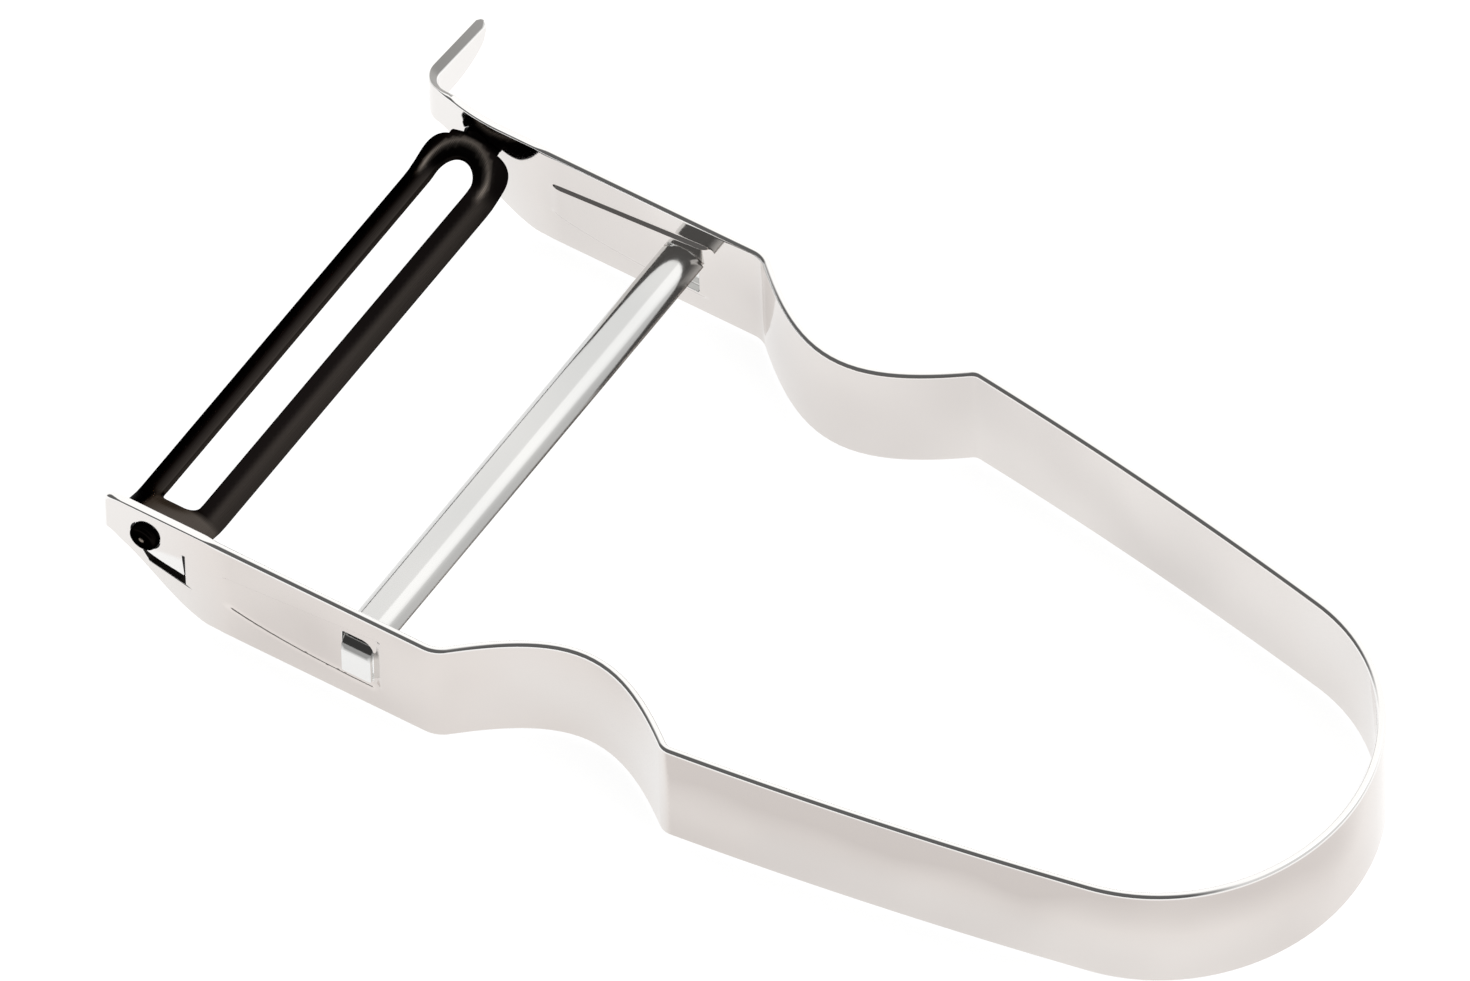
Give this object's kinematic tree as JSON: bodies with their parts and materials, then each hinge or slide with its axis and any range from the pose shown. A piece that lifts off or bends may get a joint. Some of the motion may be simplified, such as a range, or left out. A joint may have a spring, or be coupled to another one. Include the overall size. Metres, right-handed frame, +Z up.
{
  "type": "vegetable peeler",
  "caption": "Bow-shaped steel hand peeler with a slotted blade that swivels between the arms, a fixed half-round cross bar, finger waists, a palm loop and an eye gouger.",
  "frame": {"origin": "middle of the whole outline in plan, on the surface that the strip's lower edge stands on", "axes": "+Z up from the strip's lower edge, -Y toward the blade, +X toward the arm without the gouger"},
  "size_m": [0.0777, 0.1379, 0.014],
  "materials": {
    "polished_steel": "polished stainless strip with plain sheared edges",
    "black_steel": "blackened carbon steel, satin",
    "bright_steel": "bright polished stainless sheet"
  },
  "bodies": {
    "frame": {"bow_handle": "polished_steel", "cross_bar": "bright_steel"},
    "blade": {"swivel_blade": "black_steel"}
  },
  "joints": [
    {"name": "blade_swivel", "type": "hinge", "parent": "frame", "child": "blade", "pos_m": [0.0054, -0.0607, 0.0103], "axis": [1, 0, 0], "range_deg": [-12, 60]}
  ]
}
